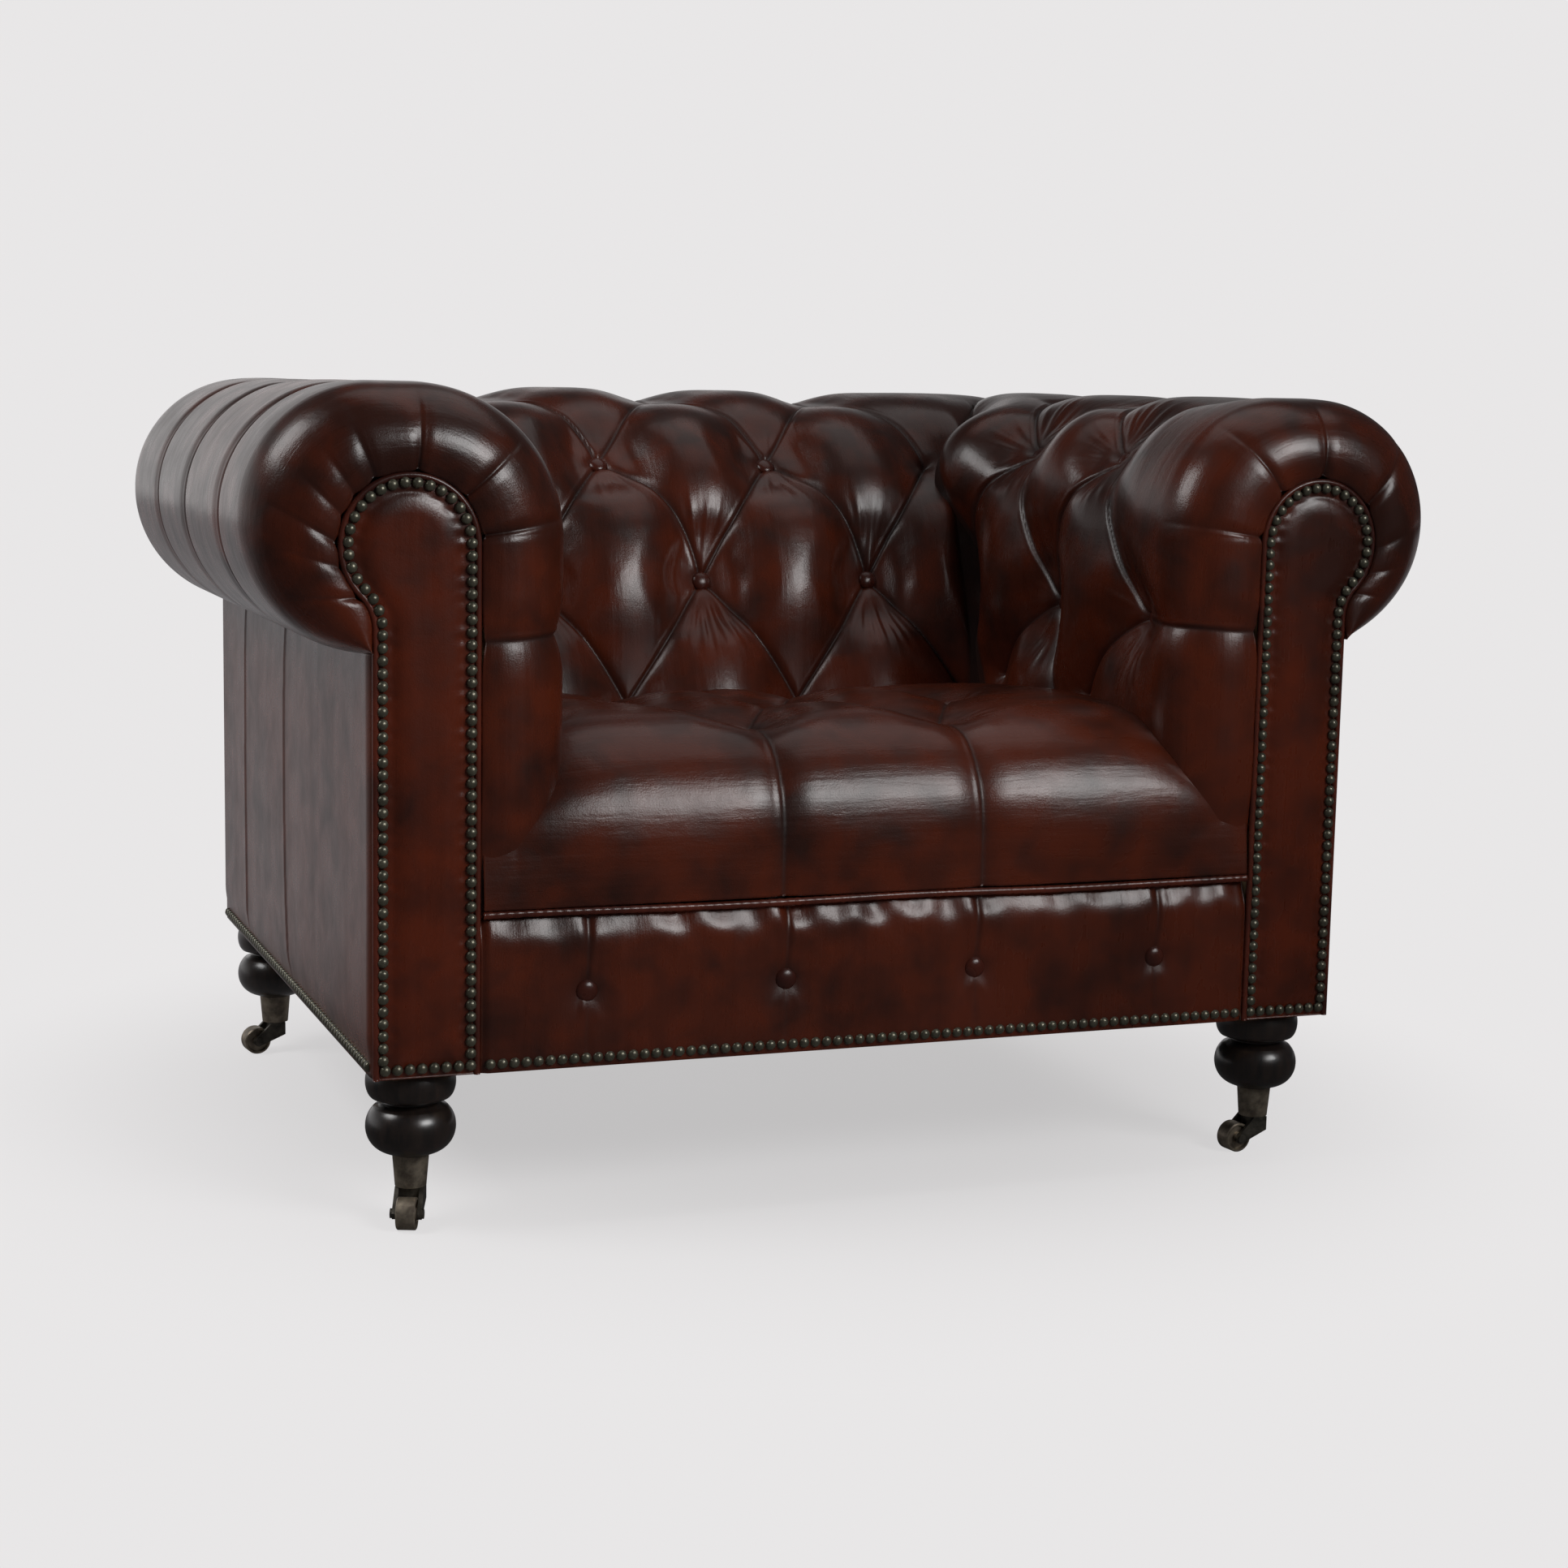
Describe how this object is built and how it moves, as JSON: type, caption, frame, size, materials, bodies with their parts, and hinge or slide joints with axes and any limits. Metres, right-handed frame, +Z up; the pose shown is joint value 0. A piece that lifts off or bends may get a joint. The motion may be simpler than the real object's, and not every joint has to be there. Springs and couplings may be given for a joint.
{
  "type": "leather armchair",
  "caption": "Low deep-buttoned leather armchair with rolled arms and back, nailed arm facings, sprung seat, bun feet and swivelling brass castors.",
  "frame": {"origin": "floor under the middle of the chair's width and depth", "axes": "+X across the chair to the right as seen from the front, +Y from front to back, +Z up"},
  "size_m": [1.184, 0.906, 0.763],
  "materials": {
    "leather": "satin antiqued hide, dark oxblood",
    "frame_wood": "planed beech",
    "ebonised_wood": "dark polished turning",
    "antique_brass": "darkened antique brass",
    "steel": "plain steel",
    "webbing": "woven jute",
    "dust_cloth": "black lining cloth"
  },
  "bodies": {
    "chair": {"arm_buttons": "leather", "arm_webbing": "webbing", "back_buttons": "leather", "back_pad": "leather", "back_top_rail": "frame_wood", "back_webbing": "webbing", "border_buttons": "leather", "castor_pins": "steel", "corner_blocks": "frame_wood", "dust_cover": "dust_cloth", "facing_nails": "antique_brass", "foot_bolts": "steel", "front_border": "leather", "front_left_cup": "antique_brass", "front_left_foot": "ebonised_wood", "front_right_cup": "antique_brass", "front_right_foot": "ebonised_wood", "front_seat_rail": "frame_wood", "left_arm_pad": "leather", "left_arm_top_rail": "frame_wood", "left_facing": "leather", "left_facing_welt": "leather", "left_front_post": "frame_wood", "left_outside_arm": "leather", "left_rear_post": "frame_wood", "left_seat_rail": "frame_wood", "outside_back": "leather", "rail_nails": "antique_brass", "rear_left_cup": "antique_brass", "rear_left_foot": "ebonised_wood", "rear_right_cup": "antique_brass", "rear_right_foot": "ebonised_wood", "rear_seat_rail": "frame_wood", "right_arm_pad": "leather", "right_arm_top_rail": "frame_wood", "right_facing": "leather", "right_facing_welt": "leather", "right_front_post": "frame_wood", "right_outside_arm": "leather", "right_rear_post": "frame_wood", "right_seat_rail": "frame_wood", "seat_buttons": "leather", "seat_pad": "leather", "seat_springs": "steel", "seat_welt": "leather", "spring_clips": "steel", "tack_rails": "frame_wood"},
    "front_left_swivel": {"front_left_fork": "antique_brass", "front_left_axle": "antique_brass"},
    "front_left_roller": {"front_left_wheel": "antique_brass"},
    "front_right_swivel": {"front_right_fork": "antique_brass", "front_right_axle": "antique_brass"},
    "front_right_roller": {"front_right_wheel": "antique_brass"},
    "rear_left_swivel": {"rear_left_fork": "antique_brass", "rear_left_axle": "antique_brass"},
    "rear_left_roller": {"rear_left_wheel": "antique_brass"},
    "rear_right_swivel": {"rear_right_fork": "antique_brass", "rear_right_axle": "antique_brass"},
    "rear_right_roller": {"rear_right_wheel": "antique_brass"}
  },
  "joints": [
    {"name": "front_left_swivel_turn", "type": "hinge", "parent": "chair", "child": "front_left_swivel", "pos_m": [-0.442, -0.391, 0.0285], "axis": [0, 0, 1], "continuous": true},
    {"name": "front_left_wheel_roll", "type": "hinge", "parent": "front_left_swivel", "child": "front_left_roller", "pos_m": [-0.45024, -0.41247, 0.015], "axis": [0.9336, -0.3584, 0], "continuous": true},
    {"name": "front_right_swivel_turn", "type": "hinge", "parent": "chair", "child": "front_right_swivel", "pos_m": [0.442, -0.391, 0.0285], "axis": [0, 0, 1], "continuous": true},
    {"name": "front_right_wheel_roll", "type": "hinge", "parent": "front_right_swivel", "child": "front_right_roller", "pos_m": [0.41917, -0.3938, 0.015], "axis": [0.1219, -0.9925, 0], "continuous": true},
    {"name": "rear_left_swivel_turn", "type": "hinge", "parent": "chair", "child": "rear_left_swivel", "pos_m": [-0.442, 0.303, 0.0285], "axis": [0, 0, 1], "continuous": true},
    {"name": "rear_left_wheel_roll", "type": "hinge", "parent": "rear_left_swivel", "child": "rear_left_roller", "pos_m": [-0.46483, 0.3002, 0.015], "axis": [0.1219, -0.9925, 0], "continuous": true},
    {"name": "rear_right_swivel_turn", "type": "hinge", "parent": "chair", "child": "rear_right_swivel", "pos_m": [0.442, 0.303, 0.0285], "axis": [0, 0, 1], "continuous": true},
    {"name": "rear_right_wheel_roll", "type": "hinge", "parent": "rear_right_swivel", "child": "rear_right_roller", "pos_m": [0.42116, 0.29328, 0.015], "axis": [0.4226, -0.9063, 0], "continuous": true}
  ]
}
